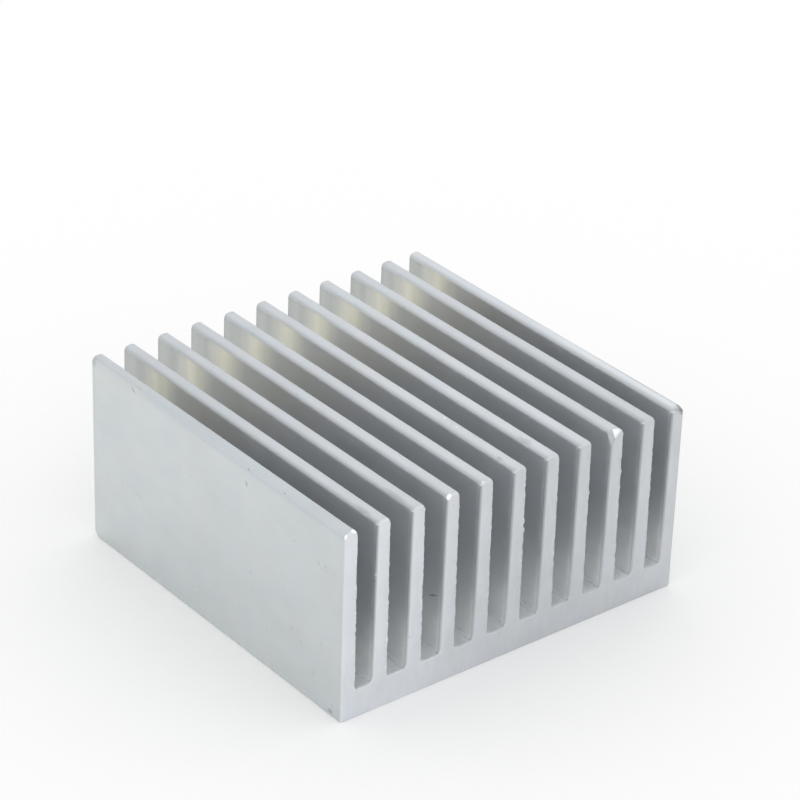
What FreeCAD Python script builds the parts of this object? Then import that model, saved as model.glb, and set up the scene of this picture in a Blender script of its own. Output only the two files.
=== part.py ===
import FreeCAD, Part
import os
import Sketcher

# Finned heat sink: a comb section of aluminium, pushed through a die in long bars and sawn to length.
# Sizes are in millimetres. X runs across the fins, Y along them and Z from the base to the fin tips.
# The origin is the middle of the underside.

SIZES = {
    "overall_width": 40.0,       # across the fins, over the two outer faces
    "cut_length": 40.0,          # from one sawn end to the other
    "overall_height": 20.0,      # from the underside to the fin tips
    "base_thickness": 3.1,       # from the underside to the slot floors
    "inner_fin_count": 9,        # fins between the two outer ones
    "inner_root_width": 1.65,    # inner fin where it leaves the base
    "inner_tip_width": 1.35,     # inner fin at its tip
    "outer_root_width": 1.5,     # outer fin where it leaves the base
    "outer_tip_width": 1.35,     # outer fin at its tip
    "outer_slot_floor": 2.0,     # floor of the slot beside each outer fin
    "root_radius": 0.4,          # hollow corner between a slot floor and a fin
    "tip_radius": 0.5,           # rounding along the edges of a fin tip
    "shoulder_radius": 0.6,      # rounding along the top edge of each outer face
    "foot_radius": 0.25,         # rounding along the two lower edges of the base
    "end_break": 0.12,           # small bevel that the deburring leaves round a sawn end
}

# The inner fins are spread evenly over what the outer fins and the slots beside them leave over.
INNER_SPAN = (
    "(Sizes.overall_width - 2 * (Sizes.outer_root_width + Sizes.outer_slot_floor)"
    " - Sizes.inner_root_width)"
)
INNER_SLOT_FLOOR = f"({INNER_SPAN} / (Sizes.inner_fin_count - 1) - Sizes.inner_root_width)"

# Two roundings share a fin tip, a slot floor or a side of the base, so each takes less than half.
LARGEST_SHARE = 0.48
ROOT_ROUNDING = (
    f"min(Sizes.root_radius; {LARGEST_SHARE} * Sizes.outer_slot_floor; "
    f"{LARGEST_SHARE} * {INNER_SLOT_FLOOR})"
)
TIP_ROUNDING = (
    f"min(Sizes.tip_radius; {LARGEST_SHARE} * Sizes.inner_tip_width; "
    f"{LARGEST_SHARE} * Sizes.outer_tip_width)"
)
SHOULDER_ROUNDING = f"min(Sizes.shoulder_radius; {LARGEST_SHARE} * Sizes.outer_tip_width)"
FOOT_ROUNDING = f"min(Sizes.foot_radius; {LARGEST_SHARE} * Sizes.base_thickness)"

# The bevel of a sawn end runs round the corners above, so it is smaller than the tightest of them.
SHARE_OF_CORNER = 0.9
END_BEVEL = (
    f"min(Sizes.end_break; {SHARE_OF_CORNER} * {TIP_ROUNDING}; "
    f"{SHARE_OF_CORNER} * {SHOULDER_ROUNDING}; {SHARE_OF_CORNER} * {FOOT_ROUNDING})"
)

# How a sketch numbers the two ends of a line, its own origin and its level axis.
START = 1
END = 2
ORIGIN = (-1, START)
LEVEL_AXIS = -1

# The sides of an outline drawn anticlockwise from its lower left corner.
FOOT, RIGHT, TOP, LEFT = range(4)

SAME_PLACE = 1e-4


def write_sizes(doc):
    sheet = doc.addObject("Spreadsheet::Sheet", "Sizes")
    for row, (name, value) in enumerate(SIZES.items(), 1):
        sheet.set(f"A{row}", name)
        sheet.set(f"B{row}", str(value))
        sheet.setAlias(f"B{row}", name)
    doc.recompute()
    return sheet


def origin_part(body, role):
    """A plane or axis of the body's own origin."""
    return next(item for item in body.Origin.OriginFeatures if item.Role == role)


def section_sketch(body, name):
    """An empty sketch across the bar, with X to the right and Z upwards."""
    sketch = body.newObject("Sketcher::SketchObject", name)
    sketch.AttachmentSupport = (origin_part(body, "XZ_Plane"), [""])
    sketch.MapMode = "FlatFace"
    return sketch


def four_sides(sketch, corners, upright):
    """Four lines joined at their ends: the foot and the top are held level and the named sides upright."""
    points = [FreeCAD.Vector(x, z, 0) for x, z in corners]
    for point, following in zip(points, points[1:] + points[:1]):
        sketch.addGeometry(Part.LineSegment(point, following), False)
    for side, following in ((FOOT, RIGHT), (RIGHT, TOP), (TOP, LEFT), (LEFT, FOOT)):
        sketch.addConstraint(Sketcher.Constraint("Coincident", side, END, following, START))
    for side in (FOOT, TOP):
        sketch.addConstraint(Sketcher.Constraint("Horizontal", side))
    for side in upright:
        sketch.addConstraint(Sketcher.Constraint("Vertical", side))


def dimension(sketch, kind, first, second, name, expression):
    """A named distance from one point to another that follows the sheet."""
    drawn = sketch.getPoint(*second) - sketch.getPoint(*first)
    value = drawn.x if kind == "DistanceX" else drawn.y
    index = sketch.addConstraint(Sketcher.Constraint(kind, *first, *second, value))
    sketch.renameConstraint(index, name)
    sketch.setExpression(f"Constraints.{name}", expression)


def full_length(body, sketch, name):
    """The section carried out to both sawn ends."""
    pad = body.newObject("PartDesign::Pad", name)
    pad.Profile = sketch
    pad.Midplane = True
    pad.setExpression("Length", "Sizes.cut_length")
    pad.Refine = True
    body.Document.recompute()
    return pad


def base_plate(body, sizes):
    half_width = sizes.overall_width / 2
    top = sizes.base_thickness
    corners = [(-half_width, 0), (half_width, 0), (half_width, top), (-half_width, top)]
    sketch = section_sketch(body, "BaseSection")
    four_sides(sketch, corners, upright=(RIGHT, LEFT))
    sketch.addConstraint(Sketcher.Constraint("PointOnObject", FOOT, START, LEVEL_AXIS))
    dimension(sketch, "DistanceX", (FOOT, START), ORIGIN, "from_middle", "Sizes.overall_width / 2")
    dimension(sketch, "DistanceX", (FOOT, START), (FOOT, END), "width", "Sizes.overall_width")
    dimension(sketch, "DistanceY", (RIGHT, START), (RIGHT, END), "thickness", "Sizes.base_thickness")
    full_length(body, sketch, "BasePlate")


def fin_sketch(body, name, corners, upright, root_width, tip_width):
    """A tapered fin standing on the base, with its widths and its two heights given."""
    sketch = section_sketch(body, name)
    four_sides(sketch, corners, upright)
    dimension(sketch, "DistanceX", (FOOT, START), (FOOT, END), "root", root_width)
    dimension(sketch, "DistanceX", (TOP, END), (TOP, START), "tip", tip_width)
    dimension(sketch, "DistanceY", ORIGIN, (FOOT, START), "floor", "Sizes.base_thickness")
    dimension(sketch, "DistanceY", ORIGIN, (TOP, START), "height", "Sizes.overall_height")
    return sketch


def inner_fins(body, sizes):
    """One tapered fin at the left end of the row, repeated towards the right."""
    middle = -(
        sizes.overall_width / 2 - sizes.outer_root_width
        - sizes.outer_slot_floor - sizes.inner_root_width / 2
    )
    half_root = sizes.inner_root_width / 2
    half_tip = sizes.inner_tip_width / 2
    floor = sizes.base_thickness
    tip = sizes.overall_height
    corners = [
        (middle - half_root, floor),
        (middle + half_root, floor),
        (middle + half_tip, tip),
        (middle - half_tip, tip),
    ]
    widths = ("Sizes.inner_root_width", "Sizes.inner_tip_width")
    sketch = fin_sketch(body, "InnerFinSection", corners, (), *widths)
    foot_of_line = FreeCAD.Vector(middle, floor, 0)
    head_of_line = FreeCAD.Vector(middle, tip, 0)
    centre_line = sketch.addGeometry(Part.LineSegment(foot_of_line, head_of_line), True)
    sketch.addConstraint(Sketcher.Constraint("Vertical", centre_line))
    sketch.addConstraint(Sketcher.Constraint("Symmetric", FOOT, START, FOOT, END, centre_line, START))
    sketch.addConstraint(Sketcher.Constraint("Symmetric", TOP, START, TOP, END, centre_line, END))
    dimension(sketch, "DistanceX", (centre_line, START), ORIGIN, "from_middle", f"{INNER_SPAN} / 2")
    fin = full_length(body, sketch, "InnerFin")

    row = body.newObject("PartDesign::LinearPattern", "InnerFins")
    row.Originals = [fin]
    row.Direction = (origin_part(body, "X_Axis"), [""])
    row.Mode = "Extent"
    row.setExpression("Length", INNER_SPAN)
    row.setExpression("Occurrences", "Sizes.inner_fin_count")
    row.Refine = True
    body.Tip = row
    body.Document.recompute()


def outer_fins(body, sizes):
    """The left outer fin, flush with the side of the base and tapered inside only, and its mirror."""
    side = -sizes.overall_width / 2
    floor = sizes.base_thickness
    tip = sizes.overall_height
    corners = [
        (side, floor),
        (side + sizes.outer_root_width, floor),
        (side + sizes.outer_tip_width, tip),
        (side, tip),
    ]
    widths = ("Sizes.outer_root_width", "Sizes.outer_tip_width")
    sketch = fin_sketch(body, "OuterFinSection", corners, (LEFT,), *widths)
    dimension(sketch, "DistanceX", (FOOT, START), ORIGIN, "from_middle", "Sizes.overall_width / 2")
    fin = full_length(body, sketch, "OuterFin")

    pair = body.newObject("PartDesign::Mirrored", "OuterFins")
    pair.Originals = [fin]
    pair.MirrorPlane = (origin_part(body, "YZ_Plane"), [""])
    pair.Refine = True
    body.Tip = pair
    body.Document.recompute()


def edges_along(shape, height):
    """The lengthwise edges at one height, each as its name and its distance from the middle."""
    found = []
    for number, edge in enumerate(shape.Edges, 1):
        first, last = edge.Vertexes[0].Point, edge.Vertexes[-1].Point
        straight_along = abs(first.x - last.x) < SAME_PLACE and abs(first.y - last.y) > SAME_PLACE
        if straight_along and max(abs(first.z - height), abs(last.z - height)) < SAME_PLACE:
            found.append((f"Edge{number}", abs(first.x)))
    return found


def edges_of_ends(shape, half_length):
    """The names of the edges that lie in the two sawn ends."""
    names = []
    for number, edge in enumerate(shape.Edges, 1):
        spots = [vertex.Point for vertex in edge.Vertexes] + [edge.CenterOfMass]
        if all(abs(abs(spot.y) - half_length) < SAME_PLACE for spot in spots):
            names.append(f"Edge{number}")
    return names


def round_off(body, name, edges, radius):
    """A rounding along the named edges of what the body holds so far."""
    before = body.Tip
    rounding = body.newObject("PartDesign::Fillet", name)
    rounding.Base = (before, edges)
    rounding.setExpression("Radius", radius)
    body.Tip = rounding
    body.Document.recompute()


def die_corners(body, sizes):
    """The corners that the die leaves round, all the way along the bar."""
    inside = sizes.overall_width / 2 - SAME_PLACE
    roots = [edge for edge, _ in edges_along(body.Shape, sizes.base_thickness)]
    round_off(body, "RootRadii", roots, ROOT_ROUNDING)
    tips = [edge for edge, away in edges_along(body.Shape, sizes.overall_height) if away < inside]
    round_off(body, "TipRadii", tips, TIP_ROUNDING)
    shoulders = [edge for edge, away in edges_along(body.Shape, sizes.overall_height) if away > inside]
    round_off(body, "ShoulderRadii", shoulders, SHOULDER_ROUNDING)
    feet = [edge for edge, _ in edges_along(body.Shape, 0)]
    round_off(body, "FootRadii", feet, FOOT_ROUNDING)


def sawn_ends(body, sizes):
    """The whole outline of both ends, broken by a small bevel."""
    before = body.Tip
    bevel = body.newObject("PartDesign::Chamfer", "EndBevel")
    bevel.Base = (before, edges_of_ends(body.Shape, sizes.cut_length / 2))
    bevel.setExpression("Size", END_BEVEL)
    body.Tip = bevel
    body.Document.recompute()


def heat_sink(doc, sizes):
    """The base, its row of inner fins and the two outer fins, as one solid."""
    body = doc.addObject("PartDesign::Body", "HeatSink")
    body.Label = "heat_sink"
    base_plate(body, sizes)
    inner_fins(body, sizes)
    outer_fins(body, sizes)
    die_corners(body, sizes)
    sawn_ends(body, sizes)
    return body


def check(doc, bodies):
    """Stops with a message if a feature failed or a sub-part isn't one closed solid."""
    doc.recompute()
    failed = [item.Name for item in doc.Objects if {"Invalid", "Error"} & set(item.State)]
    if failed:
        raise RuntimeError(f"these features failed: {failed}")
    for body in bodies:
        shape = body.Shape
        if shape.isNull() or not shape.isValid() or len(shape.Solids) != 1:
            raise RuntimeError(f"{body.Label} is not one valid solid")


def write_parts(bodies):
    os.makedirs("parts", exist_ok=True)
    for body in bodies:
        body.Shape.exportStep(f"parts/{body.Label}.step")
        print(f"{body.Label}: {body.Shape.Volume:.0f} cubic mm, {len(body.Shape.Faces)} faces")


document = FreeCAD.newDocument("HeatSinkModel")
sub_parts = [heat_sink(document, write_sizes(document))]
check(document, sub_parts)
write_parts(sub_parts)
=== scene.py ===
import math

import bmesh
import bpy
from mathutils import Euler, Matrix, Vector


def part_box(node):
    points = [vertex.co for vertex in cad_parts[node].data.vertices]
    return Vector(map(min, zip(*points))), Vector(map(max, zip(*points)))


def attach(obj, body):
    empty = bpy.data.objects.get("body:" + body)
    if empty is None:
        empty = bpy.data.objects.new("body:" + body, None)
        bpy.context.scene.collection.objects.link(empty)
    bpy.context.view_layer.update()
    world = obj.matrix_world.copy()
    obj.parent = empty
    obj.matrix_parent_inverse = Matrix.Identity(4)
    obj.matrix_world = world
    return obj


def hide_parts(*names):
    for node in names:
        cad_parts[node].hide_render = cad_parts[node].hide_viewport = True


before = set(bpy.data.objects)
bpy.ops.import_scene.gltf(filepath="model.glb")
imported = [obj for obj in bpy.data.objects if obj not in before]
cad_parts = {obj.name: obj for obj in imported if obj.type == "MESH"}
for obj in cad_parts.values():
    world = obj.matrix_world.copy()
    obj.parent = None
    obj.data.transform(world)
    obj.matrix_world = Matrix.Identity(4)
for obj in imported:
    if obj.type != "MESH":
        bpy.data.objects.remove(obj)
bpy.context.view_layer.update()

# %% [markdown]
# # A finned heat sink
# The part is one length of extruded aluminium: a flat base with eleven upright fins, sawn off at both
# ends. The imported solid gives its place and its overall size. This lesson models it again as a mesh that
# can carry what the solid leaves out, the small roundings, the torn edge that a saw leaves and a few
# knocks, and then gives it a satin metal and a plain white studio.

# %% What the frame gives
LOW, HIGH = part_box("heat_sink")
print("overall size in mm:", [round(1000 * side, 3) for side in HIGH - LOW])

# %% [markdown]
# ## Looking from the right place
# The camera goes first, because everything after it is judged through it. It stands about 31 cm from the
# part and looks down at it over one front corner. A long lens keeps the fins almost parallel. The part
# leans a little to one side in the picture, so the camera rolls by as much.

# %% The camera
MM = 0.001
LENS_PLACE = Vector((-167.23, -207.63, 165.56)) * MM
LENS_AZIMUTH = math.radians(-39.166)
LENS_ELEVATION = math.radians(28.978)
LENS_ROLL = math.radians(1.971)
LENS_LENGTH = 144.31
SENSOR_WIDTH = 36.0
CLIP_START = 10 * MM


def aim_camera():
    """Puts a camera at the lens's place and turns it down, round and over."""
    data = bpy.data.cameras.new("camera")
    data.lens = LENS_LENGTH
    data.sensor_width = SENSOR_WIDTH
    data.clip_start = CLIP_START
    camera = bpy.data.objects.new("camera", data)
    bpy.context.scene.collection.objects.link(camera)
    camera.location = LENS_PLACE
    down = Euler((math.pi / 2 - LENS_ELEVATION, 0, LENS_AZIMUTH), "XYZ").to_matrix()
    camera.rotation_euler = (down @ Euler((0, 0, LENS_ROLL)).to_matrix()).to_euler()
    bpy.context.scene.camera = camera


aim_camera()
print("the lens is", round(LENS_PLACE.length / MM), "mm from the middle of the underside")

# %% [markdown]
# ## The section
# A die gives the bar its section, so a few widths settle everything. The outer fins stand flush with the
# sides of the base. The nine inner ones share out what is left between them, and every fin is a little
# thinner at its tip than at its root.

# %% Widths and heights of the section
WIDTH, LENGTH, HEIGHT = HIGH - LOW
BASE = 3.1 * MM
INNER_FINS = 9
INNER_ROOT = 1.65 * MM
OUTER_ROOT = 1.5 * MM
TIP = 1.35 * MM
OUTER_SLOT = 2.0 * MM


def fin_feet():
    """The left and right edge of each fin where it leaves the base."""
    first = LOW.x + OUTER_ROOT + OUTER_SLOT
    last = HIGH.x - OUTER_ROOT - OUTER_SLOT - INNER_ROOT
    step = (last - first) / (INNER_FINS - 1)
    inner = [(first + step * n, first + step * n + INNER_ROOT) for n in range(INNER_FINS)]
    return [(LOW.x, LOW.x + OUTER_ROOT)] + inner + [(HIGH.x - OUTER_ROOT, HIGH.x)]


def fin_tips():
    """The same at the tips: an outer fin is thinned on its inner side only."""
    tips = []
    for left, right in fin_feet():
        pivot = left if left <= LOW.x else right if right >= HIGH.x else (left + right) / 2
        share = TIP / (right - left)
        tips.append((pivot + (left - pivot) * share, pivot + (right - pivot) * share))
    return tips


FEET, TIPS = fin_feet(), fin_tips()
print(len(FEET), "fins, and inner slots", round((FEET[2][0] - FEET[1][1]) / MM, 2), "mm wide at the floor")

# %% [markdown]
# ## Helpers for working by place
# In the window, edges and faces are clicked one by one, and the clicks are lost when a width changes. Here
# they are picked by where they lie: a test is given each edge or face, and those that pass are selected
# for the next operator.

# %% Picking by place
NEAR = 1e-6
ON_THE_CUT = NEAR / 10
FACING = 0.99


def edit(piece):
    """Puts one piece alone into edit mode."""
    if bpy.context.object and bpy.context.object.mode == "EDIT":
        bpy.ops.object.mode_set(mode="OBJECT")
    bpy.ops.object.select_all(action="DESELECT")
    bpy.context.view_layer.objects.active = piece
    piece.select_set(True)
    bpy.ops.object.mode_set(mode="EDIT")


def pick(kind, test):
    """Selects the vertices, edges or faces that pass a test, and says how many there are."""
    bpy.ops.mesh.select_mode(type=kind)
    bpy.ops.mesh.select_all(action="DESELECT")
    mesh = bmesh.from_edit_mesh(bpy.context.object.data)
    items = {"VERT": mesh.verts, "EDGE": mesh.edges, "FACE": mesh.faces}[kind]
    found = [item for item in items if test(item)]
    for item in found:
        item.select_set(True)
    mesh.select_flush_mode()
    bmesh.update_edit_mesh(bpy.context.object.data)
    return len(found)


def close(first, second):
    """Whether two lengths are the same but for rounding."""
    return abs(first - second) < NEAR


def middle(edge):
    """The point halfway along an edge."""
    return (edge.verts[0].co + edge.verts[1].co) / 2


def lengthwise(edge):
    """An edge that runs along the bar."""
    start, stop = (vertex.co for vertex in edge.verts)
    return close(start.x, stop.x) and close(start.z, stop.z)


def slice_at(place, normal):
    """Cuts what is selected along a plane, and takes nothing away."""
    bpy.ops.mesh.bisect(plane_co=place, plane_no=normal, use_fill=False, threshold=ON_THE_CUT)


def count_faces():
    """How many faces the piece in edit mode has."""
    return len(bmesh.from_edit_mesh(bpy.context.object.data).faces)


# %% [markdown]
# ## From a plate to a comb
# A plate of the base's size is sliced along the foot of every fin. The strips between the slices are then
# drawn up together into fins, and the top of each fin is squeezed to the width of its tip. An outer fin
# is squeezed towards its outer face, which stays upright.

# %% The base plate, sliced at the fins' feet
bpy.ops.object.select_all(action="DESELECT")
bpy.ops.mesh.primitive_cube_add(size=1, location=(0, 0, BASE / 2), scale=(WIDTH, LENGTH, BASE))
sink = bpy.context.object
sink.name = "finned_bar"
bpy.ops.object.transform_apply(location=True, rotation=False, scale=True)
edit(sink)
for edge in [side for foot in FEET for side in foot][1:-1]:
    bpy.ops.mesh.select_all(action="SELECT")
    slice_at((edge, 0, 0), (1, 0, 0))
print("faces after slicing:", count_faces())


# %% The fins, drawn up and tapered
def under_a_fin(face):
    centre = face.calc_center_median()
    return close(centre.z, BASE) and any(left < centre.x < right for left, right in FEET)


print("fins drawn up:", pick("FACE", under_a_fin))
bpy.ops.mesh.extrude_region_move(TRANSFORM_OT_translate={"value": (0, 0, HEIGHT - BASE)})
for (left, right), (tip_left, tip_right) in zip(FEET, TIPS):
    pick("VERT", lambda v: close(v.co.z, HEIGHT) and left - NEAR < v.co.x < right + NEAR)
    slack = (right - left) - (tip_right - tip_left)
    pivot = left + (tip_left - left) * (right - left) / slack
    bpy.ops.transform.resize(value=(TIP / (right - left), 1, 1), center_override=(pivot, 0, HEIGHT))

# %% One flat face where slices left several
FLAT_ANGLE = math.radians(0.1)
bpy.ops.mesh.select_all(action="SELECT")
bpy.ops.mesh.dissolve_limited(angle_limit=FLAT_ANGLE)
print("faces of the plain comb:", count_faces())

# %% [markdown]
# ## The corners that the die leaves
# No edge that runs along the bar is sharp. The slot floors meet the fins in hollow corners, the tips are
# rounded, the outer faces have a larger shoulder at the top, and the base has a small rounding below.
# Bevel makes all four, because a bevel of a hollow edge fills it in with the same curve.

# %% Roundings along the bar
ROOT_RADIUS = 0.4 * MM
TIP_RADIUS = 0.5 * MM
SHOULDER_RADIUS = 0.6 * MM
FOOT_RADIUS = 0.25 * MM
ARC_STEPS = 5


def round_along(test, radius):
    """Bevels the lengthwise edges whose middle passes a test, and says how many there are."""
    count = pick("EDGE", lambda edge: lengthwise(edge) and test(middle(edge)))
    bpy.ops.mesh.bevel(offset=radius, segments=ARC_STEPS, affect="EDGES", clamp_overlap=False)
    return count


def at_a_side(place):
    return close(abs(place.x), HIGH.x)


print("slot corners:", round_along(lambda at: close(at.z, BASE), ROOT_RADIUS))
print("fin tips:", round_along(lambda at: close(at.z, HIGH.z) and not at_a_side(at), TIP_RADIUS))
print("shoulders:", round_along(lambda at: close(at.z, HIGH.z) and at_a_side(at), SHOULDER_RADIUS))
print("lower edges:", round_along(lambda at: close(at.z, 0), FOOT_RADIUS))

# %% [markdown]
# ## The sawn ends
# A saw treats the two sides of a fin differently. Where its teeth come in they push the corner round, and
# where they leave they tear it into a thin lip. Here they seem to have come in from the left and from
# above. The Bevel modifier reads a weight on each edge, so one modifier makes wide roundings on one side
# and narrow ones on the other. The weight follows the way that the long face beside the edge looks, so the
# rounding changes smoothly round a tip.

# %% How wide the rounding is on each side
ROUND_LEFT = 0.36 * MM
ROUND_FLANK = 0.20 * MM
ROUND_RIGHT = 0.05 * MM
ROUND_UP = 0.29 * MM
ROUND_UP_BEHIND = 0.33 * MM
ROUND_BELOW = 0.12 * MM
WIDEST = ROUND_LEFT
END_STEPS = 4
WIDTHS = 30


def end_rounding(edge):
    """The rounding for an edge of a sawn end, or nothing for any other edge."""
    if not close(abs(middle(edge).y), HIGH.y) or lengthwise(edge):
        return 0
    beside = min(edge.link_faces, key=lambda face: abs(face.normal.y)).normal
    above = ROUND_UP if middle(edge).y < 0 else ROUND_UP_BEHIND
    level = above if beside.z > 0 and middle(edge).z > HEIGHT / 2 else ROUND_BELOW
    left = ROUND_FLANK if middle(edge).x < LOW.x + SHOULDER_RADIUS else ROUND_LEFT
    side = left if beside.x < 0 else ROUND_RIGHT
    return side * beside.x ** 2 + level * beside.z ** 2


for step in range(1, WIDTHS + 1):
    weight = step / WIDTHS
    if pick("EDGE", lambda edge: round(end_rounding(edge) / WIDEST * WIDTHS) == step):
        bpy.ops.transform.edge_bevelweight(value=weight)
bpy.ops.object.mode_set(mode="OBJECT")
rounder = sink.modifiers.new("sawn_ends", "BEVEL")
rounder.limit_method = "WEIGHT"
rounder.width = WIDEST
rounder.segments = END_STEPS
rounder.use_clamp_overlap = False
bpy.ops.object.modifier_apply(modifier="sawn_ends")
print("faces with rounded ends:", len(sink.data.polygons))

# %% [markdown]
# ## The torn lip
# The saw has pulled a thin, uneven lip out along the right edge of each fin but the last. It could be
# sculpted fin by fin. Displace does all of them at once: it moves the points of that edge to and fro by a
# cloud pattern, which is the same each time the lesson runs, and a vertex group keeps it to that edge. It
# needs points to work on, so the last half millimetre before the front end is cut into short rows first.

# %% Short rows down the front end
ROW_ZONE = 0.55 * MM
ROW = 0.26 * MM
ROWS_FROM = BASE + ROOT_RADIUS
ROWS_TO = HEIGHT - TIP_RADIUS

edit(sink)
slot_middles = [(fin[1] + following[0]) / 2 for fin, following in zip(FEET, FEET[1:])]
for middle_of_slot in slot_middles:
    pick("FACE", lambda face: abs(face.normal.y) > FACING)
    slice_at((middle_of_slot, 0, 0), (1, 0, 0))
pick("FACE", lambda face: face.normal.y > FACING)
slice_at((0, 0, ROWS_FROM), (0, 0, 1))
bpy.ops.mesh.select_all(action="SELECT")
slice_at((0, LOW.y + ROW_ZONE, 0), (0, 1, 0))
row_count = round((ROWS_TO - ROWS_FROM) / ROW)
for row in range(row_count + 1):
    pick("FACE", lambda face: face.calc_center_median().y < LOW.y + ROW_ZONE)
    slice_at((0, 0, ROWS_FROM + row * (ROWS_TO - ROWS_FROM) / row_count), (0, 0, 1))
print("rows:", row_count, "faces:", count_faces())

# %% The lip itself
LIP_REACH = 0.07 * MM
LIP_WANDER = 0.22 * MM
LIP_LEVEL = 0.33
LIP_GRAIN = 0.32 * MM
LIP_DETAIL = 2
TORN_FINS = list(zip(FEET, TIPS))[:-1]


def right_side(foot, tip, height):
    """Where the right side of a fin stands at a height."""
    return foot[1] + (tip[1] - foot[1]) * (height - BASE) / (HEIGHT - BASE)


def on_the_lip(vertex):
    """Whether a point stands at the front, on the right side of a torn fin."""
    at = vertex.co
    if at.y > LOW.y + LIP_REACH or not ROWS_FROM < at.z < ROWS_TO:
        return False
    return any(abs(at.x - right_side(foot, tip, at.z)) < LIP_REACH for foot, tip in TORN_FINS)


sink.vertex_groups.new(name="lip")
print("points on the lip:", pick("VERT", on_the_lip))
bpy.ops.object.vertex_group_assign()
bpy.ops.object.mode_set(mode="OBJECT")
torn_lip = sink.data.attributes.new("torn_lip", "FLOAT", "POINT")
for vertex in sink.data.vertices:
    torn_lip.data[vertex.index].value = float(on_the_lip(vertex))
clouds = bpy.data.textures.new("tearing", "CLOUDS")
clouds.noise_scale = LIP_GRAIN
clouds.noise_depth = LIP_DETAIL
tearing = sink.modifiers.new("tearing", "DISPLACE")
tearing.texture = clouds
tearing.texture_coords = "LOCAL"
tearing.direction = "X"
tearing.vertex_group = "lip"
tearing.strength = LIP_WANDER
tearing.mid_level = LIP_LEVEL
bpy.ops.object.modifier_apply(modifier="tearing")

# %% [markdown]
# ## Bumps on the lip
# In a few spots the saw tore out more metal than beside them, or less. Each is one point pushed with
# proportional editing, which takes its neighbours along by less and less. A sculpting brush would do as
# well, but a push can be written down. In the list each bump has its fin, counted from 0 at the left, its
# height, how far it goes to the right, and how far around it the push reaches. Lengths are in millimetres.

# %% Pushing a spot in or out
BUMPS = [
    (5, 14.1, 0.12, 0.25), (5, 13.6, -0.14, 0.25), (5, 13.1, 0.14, 0.30), (7, 14.3, 0.10, 0.40),
    (8, 16.6, -0.06, 0.40), (8, 15.4, 0.09, 0.35), (8, 14.4, -0.06, 0.35), (8, 13.6, 0.08, 0.35),
    (8, 12.4, -0.05, 0.35), (9, 12.0, 0.08, 0.40), (1, 11.0, 0.07, 0.35), (0, 15.2, -0.05, 0.40),
    (2, 9.0, 0.05, 0.35),
]


def push(place, move, reach):
    """Moves the point nearest to a place, and its neighbours with it by less and less."""
    mesh = bmesh.from_edit_mesh(bpy.context.object.data)
    nearest = min(mesh.verts, key=lambda v: (v.co - place).length)
    spot = nearest.co.copy()
    pick("VERT", lambda v: (v.co - spot).length < NEAR)
    bpy.ops.transform.translate(value=move, use_proportional_edit=True,
                                proportional_edit_falloff="SMOOTH", proportional_size=reach)


edit(sink)
for fin, height, move, reach in BUMPS:
    side = right_side(FEET[fin], TIPS[fin], height * MM)
    push(Vector((side, LOW.y, height * MM)), (move * MM, 0, 0), reach * MM)
print("bumps:", len(BUMPS))

# %% [markdown]
# ## Torn floors
# Where the saw left the slot floors it tore at their edge, in seven spots of the first five slots. The edge
# is straight and has few points there, so slices across the mouth come first, and then the same push as for
# the bumps. Each spot has its place across the bar, how far the edge goes up, or down if that is below
# zero, and how far around it the push reaches, in millimetres.

# %% Torn floors at the mouths of the slots
TEARS = [
    (-18.1, -0.13, 0.45), (-17.35, -0.15, 0.50), (-14.7, -0.10, 0.35), (-13.7, 0.07, 0.35),
    (-10.2, -0.05, 0.40), (-6.0, -0.12, 0.50), (-2.0, -0.11, 0.50),
]
MOUTH_CUTS = (-0.5, 0, 0.5)
MOUTH_SPAN = 3


def tear_floor(across, move, reach):
    """Cuts a slot's mouth into columns near a place and pushes its front edge up or down."""
    for cut in MOUTH_CUTS:
        pick("FACE", lambda face: face.calc_center_median().y < LOW.y + ROW_ZONE
             and abs(face.calc_center_median().x - across) < MOUTH_SPAN * reach
             and face.calc_center_median().z < BASE + ROOT_RADIUS)
        slice_at((across + cut * reach, 0, 0), (1, 0, 0))
    push(Vector((across, LOW.y, BASE)), (0, 0, move), reach)


for across, move, reach in TEARS:
    tear_floor(across * MM, move * MM, reach * MM)
print("faces with torn mouths:", count_faces())

# %% [markdown]
# ## Nicks along the tips
# Something hard has touched some tips near their left edge and left six small nicks. Cutting them out would
# leave sharp rims, and these are soft, so they are pushed in. The tip is sliced across there first. Each
# nick has its fin, counted from 0, its place along the bar in millimetres, and its place across the tip as
# a share of the tip's width.

# %% Pushing the nicks in
NICKS = [
    (1, -18.1, 0.0), (2, -15.1, 0.25), (3, -14.1, 0.0),
    (5, -18.0, 0.0), (5, -9.1, 0.3), (6, -16.8, 0.0),
]
NICK_DEPTH = 0.07 * MM
NICK_REACH = 0.32 * MM
NICK_CUTS = 5
NICK_INSET = TIP_RADIUS / 4
NICK_DROP = TIP_RADIUS / 5


def nick(fin, along, across):
    """Slices a tip across near a place and pushes it in and to the right."""
    left, right = TIPS[fin]
    place = Vector((left + (right - left) * across + NICK_INSET, along * MM, HEIGHT - NICK_DROP))
    for cut in range(NICK_CUTS):
        pick("FACE", lambda face: left < face.calc_center_median().x < right
             and face.calc_center_median().z > HEIGHT - TIP_RADIUS)
        slice_at(place + Vector((0, NICK_REACH * (2 * cut / (NICK_CUTS - 1) - 1), 0)), (0, 1, 0))
    push(place, (NICK_DEPTH / 2, 0, -NICK_DEPTH), NICK_REACH)


for fin, along, across in NICKS:
    nick(fin, along, across)
print("nicks:", len(NICKS), "faces:", count_faces())
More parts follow.
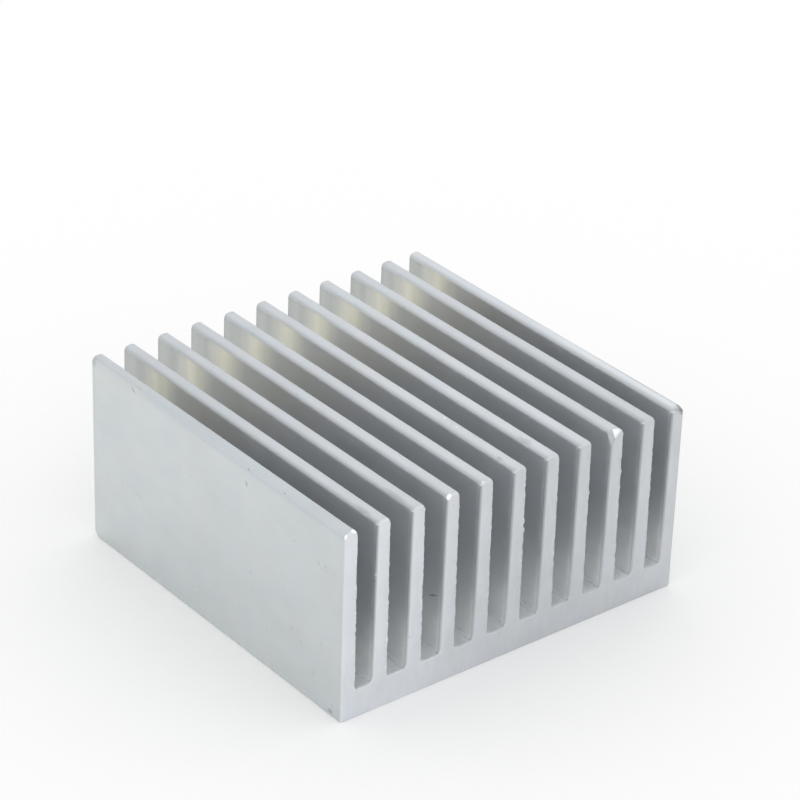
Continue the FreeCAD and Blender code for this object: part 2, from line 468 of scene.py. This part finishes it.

# %% [markdown]
# ## Knocked corners
# Knocks have left small flat facets at some corners. Five are bare metal with a painted glint, which stands
# in for a lamp's reflection: two on the first fin, at either side of its tip, and one each on the fourth,
# the fifth and the ninth. Three are bent and dull: a second one on the ninth fin, one on the last fin, and
# one at a lower corner of the base at the back. A Boolean could take the corners off. A single cut along a
# plane does too, and Fill closes it. In the list each knock has its corner, the way its facet looks, its
# depth in millimetres, and whether it glints or is dull.

# %% Facets
GLINTING, BENT = 1, 0.5
KNOCKS = [
    (Vector((TIPS[0][0], LOW.y, HEIGHT)), Vector((-0.62, -0.74, 0.24)), 0.25, GLINTING),
    (Vector((TIPS[0][1], LOW.y, HEIGHT)), Vector((0.30, -0.66, 0.68)), 0.30, GLINTING),
    (Vector((TIPS[3][0], LOW.y, HEIGHT)), Vector((-0.50, -0.80, 0.30)), 0.31, GLINTING),
    (Vector((TIPS[4][0], LOW.y, HEIGHT)), Vector((-0.50, -0.66, 0.56)), 0.295, GLINTING),
    (Vector((TIPS[8][0], LOW.y, HEIGHT)), Vector((-0.74, -0.60, 0.30)), 0.54, BENT),
    (Vector((TIPS[8][0], LOW.y, HEIGHT)), Vector((-0.42, -0.80, 0.42)), 0.52, GLINTING),
    (Vector((TIPS[10][1], LOW.y, HEIGHT)), Vector((0.20, -0.66, 0.72)), 0.46, BENT),
    (Vector((LOW.x, HIGH.y, 0)), Vector((-0.25, 0.66, -0.71)), 0.55, BENT),
]
KNOCK_REACH = 2.2 * MM


def knock_off(corner, way, depth):
    """Takes a corner off along a plane, fills the cut, and gives the plane back."""
    way = way.normalized()
    on_plane = corner - way * depth
    pick("FACE", lambda face: min((v.co - corner).length for v in face.verts) < KNOCK_REACH)
    bpy.ops.mesh.bisect(plane_co=on_plane, plane_no=way, use_fill=True, clear_outer=True,
                        threshold=ON_THE_CUT)
    return way, on_plane


facets = [knock_off(corner, way, depth * MM) for corner, way, depth, _ in KNOCKS]
print("corners knocked off:", len(facets), "faces:", count_faces())
bpy.ops.object.mode_set(mode="OBJECT")

# %% [markdown]
# ## What the finish has to know
# The finish goes by places, and two things can't be told from a place alone: which facets get a painted
# glint or are dull, and which side of a fin a face is on. The shading doesn't say it either, because it is
# softened over the roundings. Each fact is kept in an attribute, a number for every face, which the finish
# can read.


# %% Which faces get a painted glint and which are dull
def in_the_cut(face, corner, way, on_plane):
    """Whether a face closes the cut that a knock left."""
    in_plane = abs((face.center - on_plane).dot(way)) < NEAR
    return in_plane and (face.center - corner).length < KNOCK_REACH and face.normal.dot(way) > FACING


bare_metal = sink.data.attributes.new("bare_metal", "FLOAT", "FACE")
for face in sink.data.polygons:
    for (way, on_plane), (corner, _, _, glint_or_dull) in zip(facets, KNOCKS):
        if in_the_cut(face, corner, way, on_plane):
            bare_metal.data[face.index].value = glint_or_dull
print("bare facets:", sum(item.value == GLINTING for item in bare_metal.data))

# %% Which faces look to the right
SIDEWAYS = 0.5
right_faces = sink.data.attributes.new("looks_right", "FLOAT", "FACE")
for face in sink.data.polygons:
    right_faces.data[face.index].value = float(face.normal.x > SIDEWAYS)
print("faces that look to the right:", sum(item.value > 0 for item in right_faces.data))

# %% [markdown]
# ## Soft shading
# On the part the roundings flow into the flat sides, and the facets are crisp. More and more narrow faces
# could make a rounding look smooth, but shading does it with the ones that are there. Shade Smooth by Angle
# softens every edge that turns by less than its angle and leaves the others crisp. Weighted Normal then
# keeps the large flats flat.

# %% Soft shading across the roundings, flat elsewhere
SOFT_ANGLE = math.radians(30)
edit(sink)
bpy.ops.mesh.select_all(action="SELECT")
bpy.ops.mesh.normals_make_consistent(inside=False)
bpy.ops.object.mode_set(mode="OBJECT")
bpy.ops.object.shade_smooth_by_angle(angle=SOFT_ANGLE)
weighing = sink.modifiers.new("weighing", "WEIGHTED_NORMAL")
weighing.keep_sharp = True
bpy.ops.object.modifier_apply(modifier="weighing")
print("finished mesh:", len(sink.data.polygons), "faces")

# %% [markdown]
# ## Satin aluminium
# The metal is the same all over, but its colour isn't. The walls of the slots are painted brighter than
# the outside and the sawn ends, as painted light that makes up for the even light of the studio. The
# bright walls matter: light leaves a slot only after many bounces, and every bounce takes its share, so
# even a slightly darker wall makes the slots much darker.
#
# The finish is worked out from the place on the part, so the maths comes first. A small class lets sums be
# written as sums, and one method adds any other node.

# %% A small language for shader maths
class Value:
    """A number, colour or vector that changes over the surface."""

    def __init__(self, finish, socket):
        self.finish = finish
        self.socket = socket

    def sum(self, operation, *values):
        return self.finish.node("ShaderNodeMath", {"operation": operation}, dict(enumerate(values)))

    def __add__(self, other):
        return self.sum("ADD", self, other)

    def __sub__(self, other):
        return self.sum("SUBTRACT", self, other)

    def __rsub__(self, other):
        return self.sum("SUBTRACT", other, self)

    def __mul__(self, other):
        return self.sum("MULTIPLY", self, other)

    def __abs__(self):
        return self.sum("ABSOLUTE", self)

    __radd__ = __add__
    __rmul__ = __mul__


class Finish:
    """One material under construction."""

    def __init__(self, name):
        self.material = bpy.data.materials.new(name)
        self.material.use_nodes = True
        self.tree = self.material.node_tree
        self.shader = self.tree.nodes["Principled BSDF"]

    def node(self, kind, settings, values, output=0):
        """Adds a node, makes its settings, fills its sockets and gives back one of its outputs."""
        made = self.tree.nodes.new(kind)
        for name, setting in settings.items():
            if name == "stops":
                self.set_stops(made.color_ramp.elements, setting)
            else:
                setattr(made, name, setting)
        for socket, value in values.items():
            self.set(made.inputs[socket], value)
        return Value(self, made.outputs[output])

    def set_stops(self, band, stops):
        """Gives a ramp its stops, each a pair of position and colour."""
        band.remove(band[1])
        for position, colour in stops[1:]:
            band.new(position).color = (*colour, 1)
        band[0].position, band[0].color = stops[0][0], (*stops[0][1], 1)

    def set(self, socket, value):
        if isinstance(value, Value):
            self.tree.links.new(value.socket, socket)
        else:
            socket.default_value = value

    def rise(self, value, start, stop):
        """0 at the start and before, 1 at the stop and beyond, and a soft step between them."""
        return self.node("ShaderNodeMapRange", {"interpolation_type": "SMOOTHSTEP"},
                         {"Value": value, "From Min": start, "From Max": stop})

    def band(self, value, start, full, fade, stop):
        """1 between two places, with a soft step on either side."""
        return self.rise(value, start, full) - self.rise(value, fade, stop)

    def blend(self, share, first, second):
        """A share of the second colour over the first."""
        first, second = ((*c, 1) if isinstance(c, tuple) else c for c in (first, second))
        return self.node("ShaderNodeMix", {"data_type": "RGBA"}, {0: share, 6: first, 7: second}, output=2)

    def dim(self, colour, factor):
        return self.node("ShaderNodeVectorMath", {"operation": "SCALE"}, {0: colour, "Scale": factor})

    def place(self):
        return self.node("ShaderNodeTexCoord", {}, {}, output="Object")

    def grain(self, scale, detail=3.0, turn=(0, 0, 0)):
        """Noise around 0.5. The scale is in waves for each millimetre along X, Y and Z."""
        mapped = self.node("ShaderNodeMapping", {},
                           {0: self.place(), "Rotation": turn, "Scale": [s / MM for s in scale]})
        return self.node("ShaderNodeTexNoise", {}, {"Vector": mapped, "Scale": 1.0, "Detail": detail})

    def spot(self, centre, size, turn=(0, 0, 0)):
        """1 in the middle of an oval spot and 0 from its edge on, all in millimetres."""
        mapped = self.node("ShaderNodeMapping", {"vector_type": "TEXTURE"}, {
            0: self.place(), "Location": [c * MM for c in centre], "Rotation": turn,
            "Scale": [s * MM for s in size]})
        distance = self.node("ShaderNodeVectorMath", {"operation": "LENGTH"}, {0: mapped}, output=1)
        return self.rise(distance, 1.0, 0.25)


# %% Where the skins are, in millimetres from the edges
alloy = Finish("satin_aluminium")
parts = alloy.node("ShaderNodeSeparateXYZ", {}, {0: alloy.place()})
across, along, level = (Value(alloy, socket) * (1 / MM) for socket in parts.socket.node.outputs)
from_end = HIGH.y / MM - abs(along)
from_side = HIGH.x / MM - abs(across)
from_floor = level - BASE / MM
from_top = HEIGHT / MM - level
sawn = alloy.rise(from_end, 0.16, 0.02)
flank = alloy.rise(from_side, 0.3, 0.02)
tips = alloy.rise(from_top, 0.5, 0.25)
walls = (1 - sawn) * (1 - flank) * (1 - tips) * alloy.rise(from_floor, -0.4, -0.1)
looks_right = alloy.node("ShaderNodeAttribute", {"attribute_name": "looks_right"}, {}, output="Fac")

# %% [markdown]
# ## The walls of the slots
# The left sides of the fins are painted bright up to the middle of the bar. Then painted shade makes them
# darker, a warm band of painted reflection follows, and the last few millimetres carry the darkest painted
# shade. The band may be tinted metal or something that the metal mirrors. It is made as a tint, by a
# colour ramp along the bar. A little noise lets the bands start a bit earlier on one fin than on another.
# The right sides are never seen from the camera and have one plain, bright painted colour.

# %% Painted light, shade and reflection along the walls
WALL_PAINTED_LIGHT = (0.89, 0.902, 0.918)
MID_WALL_PAINTED_SHADE = (0.70, 0.702, 0.70)
WARM_PAINTED_REFLECTION = (0.91, 0.893, 0.765)
FADING_PAINTED_REFLECTION = (0.68, 0.68, 0.63)
BACK_END_PAINTED_SHADE = (0.50, 0.52, 0.505)
HIDDEN_WALL_PAINTED_LIGHT = (0.905, 0.916, 0.932)
BANDS_LAG = 0.03
BANDS_WANDER = 0.7


def stops(*pairs):
    """Turns distances from the middle of the bar, in millimetres, into positions on a ramp."""
    return [((distance * MM) / LENGTH + 0.5, colour) for distance, colour in pairs]


wander = (alloy.grain((0.3, 0.02, 0.02), detail=1.0) - 0.5) * BANDS_WANDER
shares = (along - BANDS_LAG * across + wander) * (MM / LENGTH) + 0.5
left_wall_painted_light = alloy.node("ShaderNodeValToRGB", {"stops": stops(
    (-1, WALL_PAINTED_LIGHT), (7, MID_WALL_PAINTED_SHADE), (11, MID_WALL_PAINTED_SHADE), (13.6, WARM_PAINTED_REFLECTION), (14.9, WARM_PAINTED_REFLECTION),
    (16.2, FADING_PAINTED_REFLECTION), (17.6, BACK_END_PAINTED_SHADE))}, {0: shares})
wall_painted_light_and_shade = alloy.blend(looks_right, left_wall_painted_light, HIDDEN_WALL_PAINTED_LIGHT)

# %% [markdown]
# ## Deep in the slots
# Low on the walls and on the floors the real part is brighter than aluminium would be in this even light,
# perhaps because a lamp shone down the slots. A lamp would be truer, but its place isn't known and it would
# change every other face. So the skin there gives back nearly all the light, and less towards the back.
# Real aluminium gives back about nine tenths. The hollow corners between floor and wall get a little
# painted shade, and later on they are made matt: smooth ones would gather the light into a bright line.

# %% Painted light deep in the slots
DEEP_PAINTED_LIGHT = (0.99, 0.998, 1.0)
DEEP_BACK_PAINTED_LIGHT = (0.82, 0.827, 0.836)
FLOOR_PAINTED_LIGHT = (0.97, 0.995, 1.0)
CORNER_PAINTED_SHADE = (0.77, 0.80, 0.815)
deep = alloy.blend(alloy.rise(along, 0, 11), DEEP_PAINTED_LIGHT, DEEP_BACK_PAINTED_LIGHT)
wall_painted_light_and_shade = alloy.blend(alloy.rise(level, 12, 5), wall_painted_light_and_shade, deep)
wall_painted_light_and_shade = alloy.blend(alloy.rise(from_floor, 0.35, 0.05), wall_painted_light_and_shade, FLOOR_PAINTED_LIGHT)
# Painted shade in the hollow corners between floor and wall
corner = alloy.band(from_floor, 0.0, 0.003, 0.07, 0.12)
wall_painted_light_and_shade = alloy.blend(corner, wall_painted_light_and_shade, CORNER_PAINTED_SHADE)

# %% [markdown]
# ## The outside
# The outer faces, the sawn ends, the tips and the left shoulder each have their own grey. A thin line of
# painted shade follows the left roundings of the tips and of the sawn ends, lighter low down, and the front
# edges of the slot floors. The bent and dull facets and the painted glints of the bare ones come last, over
# all the others. Separate materials would meet in hard borders, so one blends from skin to skin.

# %% Colours of the outside
FLANK_SKIN = (0.632, 0.667, 0.672)
SAWN_SKIN = (0.706, 0.730, 0.758)
TIP_SKIN = (0.62, 0.65, 0.68)
TIP_EDGE_PAINTED_SHADE = (0.52, 0.545, 0.56)
SHOULDER_SKIN = (0.586, 0.628, 0.657)
END_EDGE_PAINTED_SHADE = (0.445, 0.465, 0.485)
PAINTED_GLINT = (0.97, 0.975, 0.98)
BENT_SKIN = (0.54, 0.565, 0.585)
LOW_EDGE_PAINTED_SHADE = (0.62, 0.64, 0.665)
# Painted shade on the left roundings of the tips
tip_edge_shade = alloy.band(from_top, 0, 0.25, 0.25, 0.5) * (1 - flank) * (1 - sawn) * (1 - looks_right)
outside = alloy.blend(tip_edge_shade, TIP_SKIN, TIP_EDGE_PAINTED_SHADE)
outside = alloy.blend(flank, outside, FLANK_SKIN)
left_shoulder = alloy.rise(from_top, 1.1, 0.5) * alloy.rise(across, -18.5, -18.9)
left_shoulder = left_shoulder * alloy.rise(along, 22, 2)
outside = alloy.blend(left_shoulder, outside, SHOULDER_SKIN)
outside = alloy.blend(sawn, outside, SAWN_SKIN)
skin = alloy.blend(walls, outside, wall_painted_light_and_shade)
inner_fins = alloy.rise(from_side, 0.6, 1.0)
# Painted shade along the left edges of the sawn ends and the front edges of the slot floors
end_edge_shade = alloy.band(from_end, 0.02, 0.10, 0.20, 0.42) * (1 - looks_right) * inner_fins
end_edge_shade = end_edge_shade * alloy.rise(from_floor, 0, 0.1) * alloy.rise(from_top, 0.4, 0.6)
floor_edge_shade = 0.75 * alloy.band(from_floor, -0.22, -0.14, -0.02, 0.02) * alloy.rise(from_end, 0, 0.04)
end_edge_shade = end_edge_shade + floor_edge_shade * inner_fins
edge_painted_shade = alloy.blend(alloy.rise(from_floor, 1, 7), LOW_EDGE_PAINTED_SHADE, END_EDGE_PAINTED_SHADE)
skin = alloy.blend(end_edge_shade, skin, edge_painted_shade)
glint_or_dull = alloy.node("ShaderNodeAttribute", {"attribute_name": "bare_metal"}, {}, output="Fac")
# The dull facets, then the painted glints of the bare ones, over all the other colours
skin = alloy.blend(alloy.rise(glint_or_dull, 0.1, 0.4), skin, BENT_SKIN)
skin = alloy.blend(alloy.rise(glint_or_dull, 0.6, 0.9), skin, PAINTED_GLINT)

# %% [markdown]
# ## Grain and wear
# Fine lines run along the bar, as the die left them. Softer patches come from wear, upright stripes show at
# the back of the walls, and the saw has left faint slanting streaks on the ends. Each is a noise texture
# stretched the way that its cause went, and each changes the tone by a few parts in a hundred. Small dark
# specks go deeper. An image could hold them too, but noise has no seams and no limit of detail.

# %% Grain, patches and streaks
SAWN_LIFT = 0.06
SAWN_PAINTED_SHADE = 0.19
SPECKS = 0.16
lines = alloy.grain((7.0, 0.12, 7.0), detail=2.0)
patches = alloy.grain((0.55, 0.3, 0.55), detail=4.0, turn=(0.5, 0.3, 0.4))
clouds_of_wear = alloy.grain((0.22, 0.16, 0.2), detail=2.0)
speckle = alloy.grain((3.0, 3.0, 3.0), detail=2.0)
streaks = alloy.grain((1.6, 0.3, 0.35), detail=2.0, turn=(0, math.radians(-38), 0))
stripes = alloy.grain((0.3, 0.9, 0.06), detail=1.0)
# The sawn ends are a little lighter, with painted shade that grows darker towards the right
tone = 1 + SAWN_LIFT * sawn - SAWN_PAINTED_SHADE * sawn * alloy.rise(across, LOW.x / MM, 4)
for noise, strength in [
    (lines, 0.06 - 0.03 * flank),
    (patches, 0.09 - 0.05 * walls + 0.05 * tips),
    (speckle, 0.04),
    (streaks, 0.10 * sawn),
    (stripes, 0.16 * walls * alloy.rise(along, 9, 13)),
    (clouds_of_wear, 0.08 * (1 - walls)),
]:
    tone = tone + (noise - 0.5) * strength
tone = tone - SPECKS * alloy.rise(alloy.grain((2.4, 1.3, 2.4)), 0.67, 0.76) * (1 - walls)
print("nodes after the grain:", len(alloy.tree.nodes))

# %% [markdown]
# ## Painted light on the tips, and painted glints
# The tips get painted light and shade. They are brighter to the right, and those of the first eight fins
# also towards the front. The ninth and the tenth are darker, and the last is the brightest. Painted glints
# sit here and there on the torn lip, where a speck of torn metal would face the light. The places are
# written down, and a noise picks the glints.

# %% From fin to fin
# Painted light and shade on the tips: lighter to the right and towards the front, darker on the ninth and
# tenth, brightest on the last
slope = 0.10 * (alloy.rise(across, -20, 20) - 0.45)
forward = 0.05 * alloy.rise(along, 6, -8) * alloy.rise(across, 13, 8)
darker_tips_shade = 0.05 * alloy.band(across, 9, 14, 17, 18.3)
last_tip_light = 0.15 * alloy.rise(across, 18.75, 19.05) * (0.35 + 0.65 * alloy.rise(along, 4, -10))
tone = tone + tips * (slope + forward - darker_tips_shade + last_tip_light)

# %% Painted glints, and cooler and warmer patches
GLINTS = 0.26
COOL, WARM = (0.965, 1.0, 1.035), (1.035, 1.0, 0.965)
lip_share = alloy.node("ShaderNodeAttribute", {"attribute_name": "torn_lip"}, {}, output="Fac")
glints = alloy.rise(lip_share, 0.8, 0.95) * alloy.rise(alloy.grain((2.5, 2.5, 1.4)), 0.56, 0.7)
tone = tone + GLINTS * glints
warmth = 0.5 + (alloy.grain((0.5, 0.2, 0.4), detail=2.0) - 0.5) * (1 - 0.6 * walls)
hue = alloy.blend(warmth, COOL, WARM)
print("nodes after the glints:", len(alloy.tree.nodes))

# %% [markdown]
# ## Marks and glints in their places
# The left flank shows scratches, nicks and smudges, and the tips, one wall and the front ends have a few
# more. They could be painted into an image. Ovals need none: an oval spot is a distance from a centre in a
# space that is stretched and turned, so one helper makes them all. A mark on the flank has its place along
# and up, its turn in degrees, its length, its breadth and the share of the tone that it takes away. A
# smudge elsewhere has its place across, along and up, its three half sizes, its turn and that share. A
# share below zero makes a bright speck, a painted glint. Lengths are in millimetres.

# %% Marks on the left flank
MARKS = [
    (12.87, 19.43, 30, 1.2, 0.28, 0.30), (-5.6, 19.6, 20, 0.5, 0.2, 0.40),
    (-5.34, 18.0, 75, 0.8, 0.4, 0.32), (-11.0, 19.7, 0, 0.3, 0.2, 0.45),
    (14.87, 8.2, 20, 0.5, 0.35, 0.12), (12.1, 8.3, 12, 1.2, 0.14, 0.20),
    (-16.3, 15.15, 70, 0.7, 0.3, 0.16), (-17.2, 14.85, 0, 1.6, 0.16, 0.10),
    (-18.6, 15.0, 170, 1.4, 0.16, 0.10), (-19.5, 14.3, 60, 1.2, 0.16, 0.10),
    (-9.96, 16.3, 30, 0.3, 0.25, 0.12), (-12.5, 6.3, 120, 1.1, 0.4, 0.10),
    (-13.9, 5.5, 110, 1.0, 0.4, 0.08), (-15.8, 3.1, 100, 1.4, 0.4, 0.08),
    (-16.9, 6.8, 95, 1.8, 0.3, 0.08), (-18.44, 0.5, 0, 1.0, 0.7, 0.30),
    (-18.7, 1.2, 40, 0.7, 0.4, 0.12), (-6.1, 9.0, 45, 0.8, 0.5, 0.08),
]
MARK_DEPTH = 0.6


def flank_mark(along, up, turn, length, breadth, strength):
    """How much of the tone a mark on the left flank takes away."""
    half_sizes = (MARK_DEPTH, length / 2, breadth / 2)
    return strength * alloy.spot((LOW.x / MM, along, up), half_sizes, (math.radians(turn), 0, 0))


marks_and_glints = sum(flank_mark(*mark) for mark in MARKS)
print("marks on the flank:", len(MARKS))

# %% Smudges, specks and painted glints elsewhere
SMUDGES_AND_GLINTS = [
    (-8.62, -18.55, 8.7, 0.4, 0.75, 0.16, -28, 0.40), (-8.62, -19.2, 9.0, 0.4, 0.7, 0.06, -28, 0.20),
    (-16.4, -19.9, 14.4, 0.16, 0.35, 0.3, 0, -0.40), (-16.45, -19.8, 13.7, 0.12, 0.35, 0.22, 0, 0.35),
    (19.8, -20.0, 19.12, 0.16, 0.3, 0.12, 0, 0.35), (19.3, -19.9, 19.8, 0.7, 0.26, 0.3, 0, 0.24),
    (-20.0, 19.6, 19.5, 0.6, 0.6, 0.7, 0, 0.14), (-16.1, -17.6, 19.8, 0.3, 1.6, 0.4, 0, 0.16),
    (-12.2, -17.2, 19.8, 0.3, 2.2, 0.4, 0, 0.14), (3.5, -16.4, 19.95, 0.5, 1.3, 0.4, 0, 0.16),
    (15.95, -16.2, 19.8, 0.14, 0.4, 0.4, 0, 0.30), (15.95, -17.4, 19.8, 0.14, 0.5, 0.4, 0, 0.32),
    (15.95, -18.5, 19.8, 0.14, 0.3, 0.4, 0, 0.26), (12.0, -15.0, 19.8, 0.14, 0.5, 0.4, 0, 0.26),
    (12.0, -17.2, 19.8, 0.14, 0.4, 0.4, 0, 0.24), (0.05, -8.9, 19.9, 0.14, 0.28, 0.3, 0, -0.36),
    (0.1, -10.0, 19.9, 0.12, 0.5, 0.3, 0, 0.14), (-0.1, -10.9, 19.9, 0.14, 0.24, 0.3, 0, -0.28),
    (0.2, -13.2, 19.9, 0.12, 0.6, 0.3, 0, 0.16), (-0.45, -17.5, 19.9, 0.14, 0.50, 0.3, 0, 0.24),
    (0.0, -15.0, 19.9, 0.12, 0.5, 0.3, 0, -0.14), (3.75, -16.0, 19.9, 0.14, 0.22, 0.3, 0, -0.34),
    (-7.83, -15.1, 19.9, 0.13, 0.24, 0.3, 0, -0.20),
]


def smudge_or_glint(across, along, up, wide, length, tall, turn, strength):
    """The same for a smudge or a painted glint anywhere, with its half sizes."""
    return strength * alloy.spot((across, along, up), (wide, length, tall), (math.radians(turn), 0, 0))


for spot in SMUDGES_AND_GLINTS:
    marks_and_glints = marks_and_glints + smudge_or_glint(*spot)
print("smudges and specks:", len(SMUDGES_AND_GLINTS))

# %% The dark line on the right shoulder, and all the tones laid over the skin
OUTER_LINE = 0.38
outer_line = alloy.rise(across, 19.42, 19.6) * alloy.rise(from_top, 1.0, 0.6)
marks_and_glints = marks_and_glints + OUTER_LINE * outer_line * (0.3 + 0.7 * alloy.rise(along, -4, -14))
skin = alloy.node("ShaderNodeVectorMath", {"operation": "MULTIPLY"}, {0: skin, 1: hue})
skin = alloy.dim(skin, tone * (1 - marks_and_glints))

# %% [markdown]
# ## How matt the metal is
# Satin metal mirrors what is around it, but blurred. One roughness does for most of the part. The sawn
# ends, the marks and the strips beside the edges are a little rougher, and the hollow corners and the lower
# walls near the mouths are the most matt. A faint relief of the fine lines and the speckle breaks the
# reflections up. Real grooves in the mesh would need millions of faces, and a Bump node needs none.

# %% The finished metal
PLAIN_ROUGHNESS = 0.38
RELIEF_STRENGTH = 0.12
RELIEF_DEPTH = 0.02 * MM
rough_edges = alloy.rise(from_end, 0.8, 0.35) * (1 - sawn) + alloy.rise(from_top, 0.8, 0.4) * (1 - tips)
uneven = 0.1 * sawn + 0.1 * (patches - 0.5) + 0.1 * marks_and_glints + 0.1 * rough_edges
matt_corners = 0.6 * corner * walls
matt_mouths = 0.17 * alloy.rise(from_end, 5, 0.5) * alloy.rise(level, 10, 5) * walls
relief = lines * 0.5 + speckle * 0.5
relief = alloy.node("ShaderNodeBump", {}, {
    "Strength": RELIEF_STRENGTH, "Distance": RELIEF_DEPTH, "Height": relief})
alloy.set(alloy.shader.inputs["Base Color"], skin)
alloy.set(alloy.shader.inputs["Metallic"], 1.0)
alloy.set(alloy.shader.inputs["Roughness"], PLAIN_ROUGHNESS + uneven + matt_corners + matt_mouths)
alloy.set(alloy.shader.inputs["Normal"], relief)
sink.data.materials.clear()
sink.data.materials.append(alloy.material)
print("nodes in the finish:", len(alloy.tree.nodes))

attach(sink, "root")
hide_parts("heat_sink")

# %% [markdown]
# ## The studio
# A light tent: the same soft white from all round, over a white floor that keeps the part's shadow. What
# looks bright or dark on the metal is then how often the light has bounced, and off which skin.
#
# Cycles stops after four mirror bounces as it comes, and the slots need more, so the limit is raised.

# %% The floor, the world and the depth of the reflections
FLOOR_SIDE = 2.0
WHITE = (1, 1, 1, 1)
SLOT_BOUNCES = 32


def white_floor():
    """A wide sheet of white paper under the part."""
    bpy.ops.mesh.primitive_plane_add(size=FLOOR_SIDE, location=(0, 0, 0))
    floor = bpy.context.object
    floor.name = "floor"
    paper = Finish("white_paper")
    paper.set(paper.shader.inputs["Base Color"], WHITE)
    paper.set(paper.shader.inputs["Roughness"], 1.0)
    paper.set(paper.shader.inputs["Specular IOR Level"], 0.0)
    floor.data.materials.append(paper.material)


white_floor()
tent = bpy.data.worlds.new("light_tent")
bpy.context.scene.world = tent
tent.use_nodes = True
tent.node_tree.nodes["Background"].inputs["Color"].default_value = WHITE
tent.node_tree.nodes["Background"].inputs["Strength"].default_value = 1.0
bpy.context.scene.cycles.max_bounces = SLOT_BOUNCES
bpy.context.scene.cycles.glossy_bounces = SLOT_BOUNCES
bpy.context.scene.view_settings.view_transform = "Standard"
